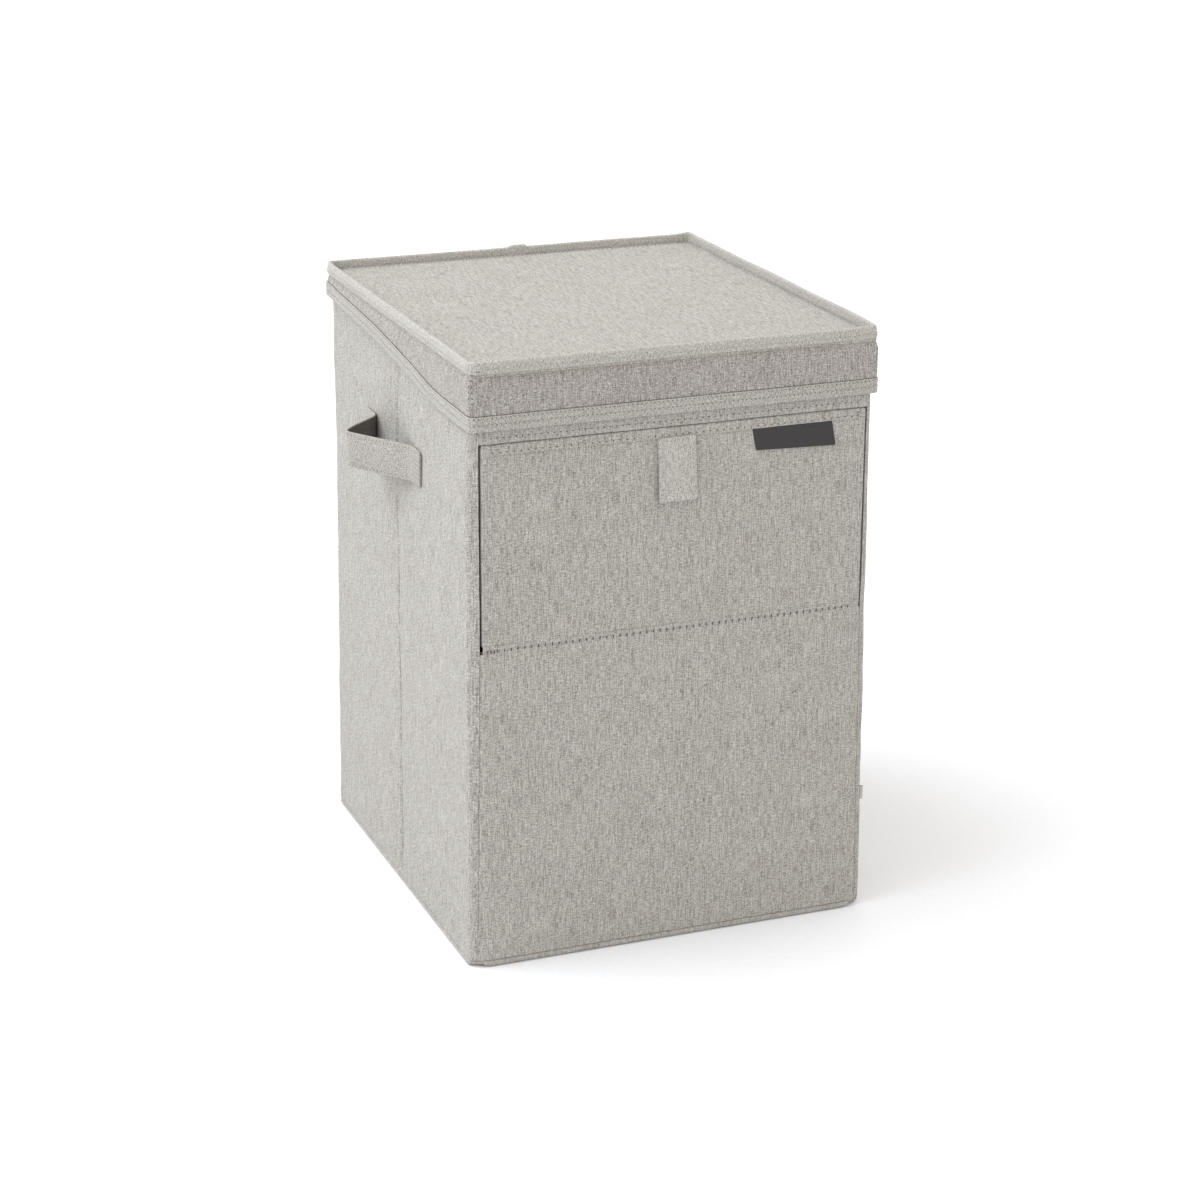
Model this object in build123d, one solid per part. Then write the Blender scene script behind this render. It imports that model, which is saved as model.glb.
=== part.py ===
from build123d import *
import os

# Foldable fabric storage bin with a hinged lid and a drop-front flap.
# Millimetres. Origin: centre of the footprint, on the floor. +Z is up, -Y is the front, +X is the right side.

# Driving dimensions
HEIGHT = 450.0
BODY_W = 302.0
BODY_D = 337.0
BASE_W = 304.0
BASE_D = 339.0
LID_W = 308.0
LID_D = 343.0

# Layers of every wall, the base and the lid: outer cover, stiffening board, inner lining
COVER = 2.0
BOARD = 2.0
LINING = 1.0
WALL = COVER + BOARD + LINING
EDGE = 1.5             # fabric round the edge of a board
CORNER_EDGE = 8.0      # boards of the end walls stop here, short of the bin's rounded upright corners
SIDE_EDGE = 3.0        # the same for the boards of the side walls
CREASE_EDGE = 8.0      # boards of the side walls stop here, each side of the crease
CORNER_R = 10.0        # corners of the base
PANEL_GAP = 0.5        # between two panels that turn against each other

# Levels
BASE_TOP = WALL
WALL_FOOT = BASE_TOP + PANEL_GAP
RIM_H = 7.5
LID_TOP = HEIGHT - RIM_H
LID_UNDER = LID_TOP - WALL
WALL_TOP = LID_UNDER - 1.0
FOLD_Z = 242.0         # stitched fold that the front flap turns on
FLAP_TOP = 390.5

# Front wall
POST_W = 4.8           # fabric strip left on each side of the flap
WINDOW_W = BODY_W - 2 * POST_W
FLAP_SIDE_GAP = 1.2
FLAP_W = WINDOW_W - 2 * FLAP_SIDE_GAP
FLAP_END_GAP = 1.0
LEDGE_W = 272.0
LEDGE_TOP = 425.0
LEDGE_FOOT = 368.0

# Lid
LID_CORNER_R = 7.0
RIM_T = 3.5
SKIRT_T = 1.2
BAND_T = 0.8           # one layer of the binding tape on the skirt's lower edge
BAND_H = 11.0
SKIRT_FRONT_FOOT = 401.0
BAND_REAR_END = LID_D / 2 + BAND_T

# Handles
STRAP_W = 27.0
STRAP_T = 2.0
STRAP_MID_Z = 345.5
STRAP_BOW = 32.0
STRAP_CLEAR = 0.3      # between the strap and the wall it is sewn to
STRAP_FRONT_END = -62.0
STRAP_REAR_END = 70.0

# Small pieces
LABEL_W, LABEL_H, LABEL_T = 63.0, 18.0, 0.6
LABEL_X, LABEL_Z = 88.5, 374.5
TAB_W, TAB_H, TAB_T = 28.0, 48.0, 3.0
TAB_TOP = 385.5
CARE_W, CARE_H, CARE_T = 4.0, 10.0, 0.6
CARE_Z = 90.0
TAPE_T = 0.6
TAPE_W, TAPE_H = 60.0, 14.0
HINGE_TAPE_T = 0.7

# Faces worked out from the driving dimensions
SIDE_X = BODY_W / 2                  # outer face of the side walls
END_Y = BODY_D / 2                   # outer face of the front and back walls
INNER_X = SIDE_X - WALL
INNER_Y = END_Y - WALL
SIDE_END = INNER_Y - PANEL_GAP       # end of a side wall, short of the front or back wall
FLAP_FOOT = FOLD_Z + PANEL_GAP
LOWER_TOP = FOLD_Z - PANEL_GAP


def block(x, y, z):
    """A box between two limits on each axis."""
    size = [high - low for low, high in (x, y, z)]
    centre = [(high + low) / 2 for low, high in (x, y, z)]
    return Pos(*centre) * Box(*size)


def save(shape, name, label=None):
    """Write one node's STEP file."""
    shape.label = label or name
    export_step(shape, f"parts/{name}.step")


def end_wall_layers(side, x, z, edge):
    """Cover, board and lining of a wall across the bin; side is -1 at the front and 1 at the back."""
    def band(near, far):
        return sorted((side * (END_Y - near), side * (END_Y - far)))

    board_x = (x[0] + edge, x[1] - edge)
    board_z = (z[0] + EDGE, z[1] - EDGE)
    board = block(board_x, band(COVER, COVER + BOARD), board_z)
    cover = block(x, band(0, COVER + BOARD), z) - board
    lining = block(x, band(COVER + BOARD, WALL), z)
    return cover, board, lining


def side_wall_layers(side, y, board_y):
    """Cover, board and lining of half a side wall; side is -1 on the left and 1 on the right."""
    def band(near, far):
        return sorted((side * (SIDE_X - near), side * (SIDE_X - far)))

    z = (WALL_FOOT, WALL_TOP)
    board = block(band(COVER, COVER + BOARD), board_y, (z[0] + EDGE, z[1] - EDGE))
    cover = block(band(0, COVER + BOARD), y, z) - board
    lining = block(band(COVER + BOARD, WALL), y, z)
    return cover, board, lining


def rounded_slab(width, depth, radius, low, high):
    """A flat panel with rounded corners."""
    return Pos(0, 0, low) * extrude(RectangleRounded(width, depth, radius), high - low)


def base():
    """Bottom panel: cover round a board, and the lining on top of it."""
    board = rounded_slab(BASE_W - 2 * EDGE, BASE_D - 2 * EDGE, CORNER_R - EDGE, COVER, COVER + BOARD)
    cover = rounded_slab(BASE_W, BASE_D, CORNER_R, 0, COVER + BOARD) - board
    lining = rounded_slab(BASE_W, BASE_D, CORNER_R, COVER + BOARD, BASE_TOP)
    save(cover, "base_cover")
    save(board, "base_board")
    save(lining, "base_lining")


def back_wall():
    """Fixed back wall."""
    cover, board, lining = end_wall_layers(1, (-SIDE_X, SIDE_X), (WALL_FOOT, WALL_TOP), CORNER_EDGE)
    save(cover, "back_cover")
    save(board, "back_board")
    save(lining, "back_lining")


def side_walls():
    """Each side wall is two halves that meet at an upright crease in the middle."""
    near = PANEL_GAP
    board_near = near + CREASE_EDGE
    board_far = SIDE_END - SIDE_EDGE
    halves = {
        "rear": ((near, SIDE_END), (board_near, board_far)),
        "front": ((-SIDE_END, -near), (-board_far, -board_near)),
    }
    for side_name, side in (("left", -1), ("right", 1)):
        for half_name, (y, board_y) in halves.items():
            cover, board, lining = side_wall_layers(side, y, board_y)
            save(cover, f"{side_name}_{half_name}_cover")
            save(board, f"{side_name}_{half_name}_board")
            save(lining, f"{side_name}_{half_name}_lining")


def front_wall():
    """Lower panel, two narrow posts and a top rail round the opening that the flap closes."""
    window_x = (-WINDOW_W / 2, WINDOW_W / 2)
    window_z = (LOWER_TOP, FLAP_TOP + FLAP_END_GAP)
    board_x = (-SIDE_X + CORNER_EDGE, SIDE_X - CORNER_EDGE)
    board_y = (-END_Y + COVER, -END_Y + COVER + BOARD)
    full_y = (-END_Y, -INNER_Y)
    full_z = (WALL_FOOT, WALL_TOP)
    window = block(window_x, full_y, window_z)

    lower_board = block(board_x, board_y, (WALL_FOOT + EDGE, LOWER_TOP - EDGE))
    rail_board = block(board_x, board_y, (window_z[1] + EDGE, WALL_TOP - EDGE))
    outer = block((-SIDE_X, SIDE_X), (-END_Y, -END_Y + COVER + BOARD), full_z)
    lining = block((-SIDE_X, SIDE_X), (-END_Y + COVER + BOARD, -INNER_Y), full_z)
    save(outer - window - lower_board - rail_board, "front_cover")
    save(lower_board, "front_lower_board")
    save(rail_board, "front_rail_board")
    save(lining - window, "front_lining")


def closure_ledge():
    """Stiff strip sewn behind the top rail. It hangs behind the flap's top edge and stops the flap."""
    x = (-LEDGE_W / 2, LEDGE_W / 2)
    free_front = -INNER_Y + 1.8
    back = -INNER_Y + 3.3
    sewn = block(x, (-INNER_Y, back), (FLAP_TOP + 2.5, LEDGE_TOP))
    free = block(x, (free_front, back), (LEDGE_FOOT, FLAP_TOP + 2.5))
    save(sewn + free, "closure_ledge")
    return free_front


def closure_tapes(ledge_front):
    """Hook tapes on the flap and loop tapes on the ledge, two pairs."""
    loops = []
    hooks = []
    z = (FLAP_TOP - 4 - TAPE_H, FLAP_TOP - 4)
    for centre in (-85.0, 85.0):
        x = (centre - TAPE_W / 2, centre + TAPE_W / 2)
        loops.append(block(x, (ledge_front - TAPE_T - 0.2, ledge_front), z))
        hooks.append(block(x, (-INNER_Y, -INNER_Y + TAPE_T), z))
    save(Compound(children=loops), "closure_loop_tapes")
    save(Compound(children=hooks), "closure_hook_tapes")


def flap():
    """Drop-front flap: a board in fabric, with its lining."""
    x = (-FLAP_W / 2, FLAP_W / 2)
    cover, board, lining = end_wall_layers(-1, x, (FLAP_FOOT, FLAP_TOP), EDGE)
    save(cover, "flap_cover")
    save(board, "flap_board")
    save(lining, "flap_lining")


def pull_tab():
    """Folded fabric tab in the middle of the flap's top hem."""
    face = RectangleRounded(TAB_W, TAB_H, 3.0)
    plate = Rot(90, 0, 0) * extrude(face, TAB_T)
    save(Pos(0, -END_Y, TAB_TOP - TAB_H / 2) * plate, "pull_tab")


def woven_label():
    """Plain woven label on the flap."""
    x = (LABEL_X - LABEL_W / 2, LABEL_X + LABEL_W / 2)
    z = (LABEL_Z - LABEL_H / 2, LABEL_Z + LABEL_H / 2)
    save(block(x, (-END_Y - LABEL_T, -END_Y), z), "woven_label")


def care_label():
    """Small folded label sewn into the seam of the right side, near the floor."""
    y = -SIDE_END + 1.0
    z = (CARE_Z - CARE_H / 2, CARE_Z + CARE_H / 2)
    save(block((SIDE_X, SIDE_X + CARE_W), (y, y + CARE_T), z), "care_label")


def handle_straps():
    """Strap sewn flat on both halves of a side wall, bowed outwards over the crease."""
    flat = SIDE_X + STRAP_CLEAR + STRAP_T / 2
    crown = flat + STRAP_BOW - STRAP_T
    route = [
        (flat, STRAP_FRONT_END),
        (flat, -42.0),
        (crown, -16.0),
        (crown, 24.0),
        (flat, 49.0),
        (flat, STRAP_REAR_END),
    ]
    radii = [14.0, 22.0, 22.0, 14.0]
    for name, side in (("left_handle_strap", -1), ("right_handle_strap", 1)):
        points = [(side * x, y, STRAP_MID_Z) for x, y in route]
        path = FilletPolyline(*points, radius=radii)
        section = Plane(origin=points[0], x_dir=(1, 0, 0), z_dir=(0, 1, 0)) * Rectangle(STRAP_T, STRAP_W)
        save(sweep(section, path=path), name)


def lid_panel():
    """Flat top of the lid: cover round a board, and the lining under it."""
    board = rounded_slab(LID_W - 2 * EDGE, LID_D - 2 * EDGE, LID_CORNER_R - EDGE,
                         LID_UNDER + LINING, LID_TOP - COVER)
    cover = rounded_slab(LID_W, LID_D, LID_CORNER_R, LID_UNDER + LINING, LID_TOP) - board
    lining = rounded_slab(LID_W, LID_D, LID_CORNER_R, LID_UNDER, LID_UNDER + LINING)
    save(cover, "lid_cover")
    save(board, "lid_board")
    save(lining, "lid_lining")


def lid_rim():
    """Seam round the lid, bound with tape, that stands up as a low rim."""
    outer = rounded_slab(LID_W, LID_D, LID_CORNER_R, LID_TOP, HEIGHT)
    inner = rounded_slab(LID_W - 2 * RIM_T, LID_D - 2 * RIM_T, LID_CORNER_R - RIM_T, LID_TOP, HEIGHT)
    save(outer - inner, "lid_rim_binding")


def side_profile(front, rear, drop, top):
    """Upright face, in Y and Z, between level top and the skirt's curved line lowered by drop."""
    line = [(rear, 436.0), (132.0, 433.8), (34.0, 428.0), (-25.0, 421.8), (-81.0, 414.6), (-116.0, 412.0)]
    curve_points = [(y, z - drop) for y, z in line]
    foot = SKIRT_FRONT_FOOT + BAND_H - drop
    last = curve_points[-1]
    curve = Spline(*curve_points, tangents=[(-1, -0.05), (-1, 0)])
    edges = [
        Line((front, top), (rear, top)),
        Line((rear, top), curve_points[0]),
        curve,
        Line(last, (front, foot)),
        Line((front, foot), (front, top)),
    ]
    return make_face(edges)


def upright(face, low, high):
    """Extrude a face drawn in Y and Z from X = low to X = high."""
    plane = Plane(origin=(low, 0, 0), x_dir=(0, 1, 0), z_dir=(1, 0, 0))
    return extrude(plane * face, high - low)


def lid_skirt():
    """Skirt that hangs from the lid: deep across the front, tapering along both sides to the back."""
    outer_x = LID_W / 2
    front_y = -LID_D / 2
    inner_y = front_y + SKIRT_T
    front = block((-outer_x, outer_x), (front_y, inner_y), (SKIRT_FRONT_FOOT + BAND_T, LID_UNDER))
    wing_face = side_profile(inner_y, LID_D / 2, BAND_H - BAND_T, LID_UNDER)
    left = upright(wing_face, -outer_x, -outer_x + SKIRT_T)
    right = upright(wing_face, outer_x - SKIRT_T, outer_x)

    # Binding tape: both faces and the lower edge of the skirt, all the way round, with free rear ends.
    band_face = side_profile(front_y - BAND_T, BAND_REAR_END, BAND_H, LID_UNDER)
    band_face -= side_profile(front_y - BAND_T - 1, BAND_REAR_END + 1, 0, LID_UNDER + 1)
    tape_t = SKIRT_T + 2 * BAND_T
    tape = upright(band_face, -outer_x - BAND_T, -outer_x - BAND_T + tape_t)
    tape += upright(band_face, outer_x + BAND_T - tape_t, outer_x + BAND_T)
    tape += block((-outer_x - BAND_T, outer_x + BAND_T), (front_y - BAND_T, front_y - BAND_T + tape_t),
                  (SKIRT_FRONT_FOOT, SKIRT_FRONT_FOOT + BAND_H))
    tape = tape - front - left - right

    save(front, "lid_skirt_front")
    save(left, "lid_skirt_left")
    save(right, "lid_skirt_right")
    save(tape, "skirt_hem_binding")


def lid_hinge_tape():
    """Fabric tape sewn to the back wall and to the underside of the lid; it is the lid's hinge."""
    x = (-SIDE_X + 6, SIDE_X - 6)
    upright_leg = block(x, (END_Y, END_Y + HINGE_TAPE_T), (WALL_TOP - 28, LID_UNDER - 0.2))
    top_leg = block(x, (END_Y - 22, END_Y), (LID_UNDER - 0.2 - HINGE_TAPE_T, LID_UNDER - 0.2))
    save(upright_leg + top_leg, "lid_hinge_tape")


os.makedirs("parts", exist_ok=True)
base()
back_wall()
side_walls()
front_wall()
closure_tapes(closure_ledge())
flap()
pull_tab()
woven_label()
care_label()
handle_straps()
lid_panel()
lid_rim()
lid_skirt()
lid_hinge_tape()
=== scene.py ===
import math

import bmesh
import bpy
import numpy as np
from mathutils import Matrix, Vector

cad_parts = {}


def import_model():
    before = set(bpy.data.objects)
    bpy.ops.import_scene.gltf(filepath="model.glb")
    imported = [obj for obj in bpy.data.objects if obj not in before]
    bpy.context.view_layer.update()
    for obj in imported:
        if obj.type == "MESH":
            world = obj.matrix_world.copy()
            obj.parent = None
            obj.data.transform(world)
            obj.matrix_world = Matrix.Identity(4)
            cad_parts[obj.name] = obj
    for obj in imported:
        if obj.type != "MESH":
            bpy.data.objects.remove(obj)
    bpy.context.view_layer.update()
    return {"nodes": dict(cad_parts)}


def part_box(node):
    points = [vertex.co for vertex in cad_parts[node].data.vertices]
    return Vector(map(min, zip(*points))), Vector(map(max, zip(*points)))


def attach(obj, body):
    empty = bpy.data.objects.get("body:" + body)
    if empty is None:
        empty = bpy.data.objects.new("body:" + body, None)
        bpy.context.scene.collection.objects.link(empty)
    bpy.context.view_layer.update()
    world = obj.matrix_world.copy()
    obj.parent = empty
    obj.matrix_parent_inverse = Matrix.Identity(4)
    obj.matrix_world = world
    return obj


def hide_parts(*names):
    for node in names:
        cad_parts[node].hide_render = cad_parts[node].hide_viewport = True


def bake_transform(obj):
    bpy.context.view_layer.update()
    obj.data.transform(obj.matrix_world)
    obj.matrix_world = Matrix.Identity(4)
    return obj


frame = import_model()

# Looks of the foldable fabric storage bin. Metres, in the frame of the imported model: origin at the centre of
# the footprint on the floor, +Z up, -Y the front. Where a comment says so, steps, edges and stitches are in mm.

MM = 0.001

# ---- sizes from the frame

WALLS_LOW, WALLS_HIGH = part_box("back_cover")
SIDE_X, END_Y, WALL_TOP = WALLS_HIGH                 # outer faces and top edge of the walls
INNER_X = -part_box("left_rear_lining")[1].x
INNER_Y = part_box("back_lining")[0].y
WALL = SIDE_X - INNER_X
FLAP_LOW, FLAP_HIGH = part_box("flap_cover")
FOLD_Z = FLAP_LOW.z - 0.5 * MM                       # line that the flap folds on
LID_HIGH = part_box("lid_cover")[1]
LID_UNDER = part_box("lid_lining")[0].z
RIM_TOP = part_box("lid_rim_binding")[1].z
BAND_END_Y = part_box("skirt_hem_binding")[1].y
BASE_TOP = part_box("base_lining")[1].z
STRAP_LOW, STRAP_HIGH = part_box("left_handle_strap")
TAB_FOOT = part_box("pull_tab")[0].z
LABEL_LOW, LABEL_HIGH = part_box("woven_label")
CARE_LOW, CARE_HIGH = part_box("care_label")
LEDGE_LOW, LEDGE_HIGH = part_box("closure_ledge")
HINGE_LOW, HINGE_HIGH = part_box("lid_hinge_tape")

# ---- sizes of the cloth

CLOTH = 0.8 * MM                     # thickness of the outer cloth
LINING = 0.9 * MM                    # room that the frame gives a lining
THIN = 0.4 * MM                      # thickness of the lining's cloth
FRONT_R = 8 * MM                     # upright corners of the body
REAR_R = 9 * MM
SEAM_X = 146.6 * MM                  # seams of the front's corner strips
SEAM_LEAN = 2.0 * MM                 # the same seams stand further out at the floor
FOOT_SEAM = WALLS_LOW.z + 0.1 * MM   # height of the seam round the foot
TOP_R = 1.3 * MM                     # turn of the cloth over the walls' top edge
WALL_END = WALL_TOP - TOP_R + TOP_R * math.pi / 2 + 3.2 * MM     # where the turned-over cloth ends
STRIP_EDGE = 3 * MM                  # a corner strip starts this far before its curve
FOLD_STRIP = 2.2 * MM                # cloth that bends, below the flap's fold
FOLD_STRIP_TOP = 3.6 * MM            # and above it
FLAP_EDGE_X = FLAP_HIGH.x + 0.2 * MM
RAIL_FOOT = FLAP_HIGH.z + 0.5 * MM
SKIRT_R = 3.6 * MM
SKIRT_SEAM_Z = 443.2 * MM            # the skirt is sewn under the lid's rim here
BAND_T = 0.8 * MM
BAND_H = 11 * MM
STEP = 0.15 * MM                     # step for slopes of a surface
CLOSEST = 0.22 * MM                  # no two lines of a mesh come closer


# ---- numbers

def smooth(t):
    """0 to 1 with no corner at either end."""
    t = np.clip(t, 0.0, 1.0)
    return t * t * (3 - 2 * t)


def bump(x, centre, width):
    """1 at the centre, falling to nothing a few widths away."""
    return np.exp(-((x - centre) / width) ** 2)


def ripple(a, b, seed, longest=0.16, shortest=0.035):
    """Gentle uneven waves between about -1 and 1, the same on every run."""
    chance = np.random.default_rng(seed)
    total = 0.0
    for _ in range(7):
        length = shortest * (longest / shortest) ** chance.random()
        angle = chance.random() * math.tau
        phase = chance.random() * math.tau
        total = total + np.sin((a * math.cos(angle) + b * math.sin(angle)) * math.tau / length + phase)
    return total / 3.5


def stations(low, high, step, *fine):
    """Positions from low to high, step mm apart, and closer in each of fine: centre, reach and step in mm."""
    parts = [np.linspace(low, high, max(2, int(round((high - low) / (step * MM))) + 1))]
    for centre, reach, small in fine:
        parts.append(np.arange(centre - reach * MM, centre + (reach + small / 2) * MM, small * MM))
    every = np.sort(np.concatenate(parts))
    every = every[(every >= low) & (every <= high)]
    kept = [every[0]]
    for value in every[1:]:
        if value - kept[-1] > CLOSEST:
            kept.append(value)
    kept[-1] = high
    return np.array(kept)


def distances(points):
    """Distance along a line of points, from its first point to each."""
    return np.concatenate([[0], np.cumsum(np.linalg.norm(np.diff(points, axis=0), axis=1))])


def smooth_path(points, count):
    """A smooth line near the points, through the first and the last: a clamped cubic B-spline."""
    points = np.array(points, float)
    points = np.vstack([points[:1], points[:1], points, points[-1:], points[-1:]])
    t = np.linspace(0, len(points) - 3 - 1e-9, count)
    k = t.astype(int)
    f = (t - k)[:, None]
    weights = ((1 - f) ** 3, 3 * f ** 3 - 6 * f ** 2 + 4, -3 * f ** 3 + 3 * f ** 2 + 3 * f + 1, f ** 3)
    return sum(w * points[k + i] for i, w in enumerate(weights)) / 6


class Outline:
    """A rounded rectangle seen from above. Distance 0 is the middle of the left side; it runs to the front."""

    def __init__(self, half_x, half_y, front_r, rear_r):
        self.half_x, self.half_y, self.front_r, self.rear_r = half_x, half_y, front_r, rear_r
        x, y, f, r = half_x, half_y, front_r, rear_r
        rows = [(-x, 0, -1, 0)]
        arcs = ((f - x, f - y, f, 180), (x - f, f - y, f, 270), (x - r, y - r, r, 0), (r - x, y - r, r, 90))
        for centre_x, centre_y, radius, first in arcs:
            for t in np.radians(first + np.linspace(0, 90, 25)):
                c, s = math.cos(t), math.sin(t)
                rows.append((centre_x + radius * c, centre_y + radius * s, c, s))
        self.table = np.array(rows + rows[:1], float)
        self.length = distances(self.table[:, :2])
        self.total = self.length[-1]
        quarter = math.pi / 2
        self.front_start = (y - f) + quarter * f
        self.right_start = self.front_start + 2 * (x - f) + quarter * f
        self.back_start = self.right_start + (2 * y - f - r) + quarter * r

    def at(self, s):
        """Place and outward direction: x, y, nx, ny."""
        s = np.mod(s, self.total)
        return [np.interp(s, self.length, self.table[:, k]) for k in range(4)]

    def out(self, s, reach, z):
        """A point this far outside the outline, at height z."""
        x, y, nx, ny = self.at(s)
        return np.stack([x + nx * reach, y + ny * reach, z + 0 * x], -1)

    def left(self, y):
        return -y

    def front(self, x):
        return self.front_start + x + self.half_x - self.front_r

    def right(self, y):
        return self.right_start + y + self.half_y - self.front_r

    def back(self, x):
        return self.back_start + self.half_x - self.rear_r - x


BODY = Outline(SIDE_X, END_Y, FRONT_R, REAR_R)
LID = Outline(LID_HIGH.x, LID_HIGH.y, 7 * MM, 7 * MM)
SKIRT = Outline(LID_HIGH.x, LID_HIGH.y, SKIRT_R, SKIRT_R)


# ---- meshes

def add_object(name, data):
    obj = bpy.data.objects.new(name, data)
    bpy.context.scene.collection.objects.link(obj)
    return obj


def grid_part(points, uv, wrap_rows=False, wrap_cols=False):
    """Faces of a grid of points. A wrapped direction joins its last line to its first; uv has a line more."""
    rows, cols = points.shape[:2]
    uv_rows, uv_cols = uv.shape[:2]
    i, j = np.meshgrid(np.arange(uv_rows - 1), np.arange(uv_cols - 1), indexing="ij")
    corners = [(i, j), (i, j + 1), (i + 1, j + 1), (i + 1, j)]
    faces = np.stack([(a % rows) * cols + b % cols for a, b in corners], -1).reshape(-1, 4)
    uv_index = np.stack([a * uv_cols + b for a, b in corners], -1).reshape(-1, 4)
    return points.reshape(-1, 3), faces, uv.reshape(-1, 2)[uv_index]


def assemble(name, parts, material, second=None, marked=None):
    """One closed mesh from grids whose edges meet. The marked faces get the second material."""
    offsets = np.cumsum([0] + [len(part[0]) for part in parts])
    faces = np.concatenate([part[1] + offset for part, offset in zip(parts, offsets)])
    mesh = bpy.data.meshes.new(name)
    mesh.from_pydata(np.concatenate([part[0] for part in parts]).tolist(), [], faces.tolist())
    layer = mesh.uv_layers.new(name="cloth")
    layer.data.foreach_set("uv", np.concatenate([part[2] for part in parts]).astype(np.float32).ravel())
    mesh.materials.append(MATERIAL[material])
    if second:
        mesh.materials.append(MATERIAL[second])
        mesh.polygons.foreach_set("material_index", marked.astype(np.int32))
    work = bmesh.new()
    work.from_mesh(mesh)
    bmesh.ops.remove_doubles(work, verts=work.verts, dist=2e-6)
    bmesh.ops.recalc_face_normals(work, faces=work.faces)
    work.to_mesh(mesh)
    work.free()
    mesh.shade_smooth()
    mesh.set_sharp_from_angle(angle=math.radians(48))
    return add_object(name, mesh)


def normals(surface, a, b, turn=1):
    """Unit normals of surface(a, b)."""
    across = surface(a + STEP, b) - surface(a - STEP, b)
    up = surface(a, b + STEP) - surface(a, b - STEP)
    normal = np.cross(across, up) * turn
    return normal / np.maximum(np.linalg.norm(normal, axis=-1, keepdims=True), 1e-12)


def shell(name, outer, inner, uv, lap, material):
    """A closed sheet between two grids of points. Its uv runs on by lap over the edges."""
    parts = [grid_part(outer, uv), grid_part(inner, uv)]
    for edge in (np.s_[0], np.s_[-1], np.s_[:, 0], np.s_[:, -1]):
        parts.append(grid_part(np.stack([outer[edge], inner[edge]]), np.stack([uv[edge], uv[edge] + lap])))
    return assemble(name, parts, material)


def sheet_mesh(name, surface, across, up, thickness=CLOTH, material="cover"):
    """A closed sheet on surface(a, b), with its thickness on the inside."""
    a, b = np.meshgrid(across, up)
    outer = surface(a, b)
    inner = outer - normals(surface, a, b) * thickness
    return shell(name, outer, inner, np.stack([a, b], -1), thickness, material)


def tube_mesh(name, rings, along, loop, material, closed=False, second=None, inner_column=None):
    """A solid swept along stations: rings is (stations, section points, 3), and loop the section itself."""
    if closed:
        along = np.append(along, along[-1] + (along[-1] - along[-2]))
    perimeter = distances(np.vstack([loop, loop[:1]]))
    uv = np.stack(np.meshgrid(along, perimeter, indexing="ij"), -1)
    part = grid_part(rings, uv, wrap_rows=closed, wrap_cols=True)
    marked = np.arange(len(part[1])) % len(loop) == inner_column
    obj = assemble(name, [part], material, second, marked)
    if not closed:
        work = bmesh.new()
        work.from_mesh(obj.data)
        bmesh.ops.holes_fill(work, edges=[e for e in work.edges if e.is_boundary], sides=0)
        bmesh.ops.recalc_face_normals(work, faces=work.faces)
        work.to_mesh(obj.data)
        work.free()
    return obj


def rounded_section(width, height, radius, steps):
    """A closed loop of (out, up) points, centred, with rounded corners."""
    loop = []
    for side_x, side_y, first in ((1, 1, 0), (-1, 1, 90), (-1, -1, 180), (1, -1, 270)):
        for t in np.radians(first + np.linspace(0, 90, steps + 1)):
            x = side_x * (width / 2 - radius) + radius * math.cos(t)
            loop.append((x, side_y * (height / 2 - radius) + radius * math.sin(t)))
    return np.array(loop)


def round_corners(p, q, half_p, half_q, radius):
    """Moves the corner of a rectangular grid onto a rounded corner; also gives each distance to the edge."""
    a = np.clip((np.abs(p) - (half_p - radius)) / radius, 0, 1)
    b = np.clip((np.abs(q) - (half_q - radius)) / radius, 0, 1)
    corner = (a > 0) & (b > 0)
    x = np.where(corner, (half_p - radius) + radius * a * np.sqrt(1 - b * b / 2), np.abs(p))
    y = np.where(corner, (half_q - radius) + radius * b * np.sqrt(1 - a * a / 2), np.abs(q))
    straight = np.minimum(half_p - np.abs(p), half_q - np.abs(q))
    rounded = radius - np.hypot(x - (half_p - radius), y - (half_q - radius))
    return np.sign(p) * x, np.sign(q) * y, np.maximum(np.where(corner, rounded, straight), 0)


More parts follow.
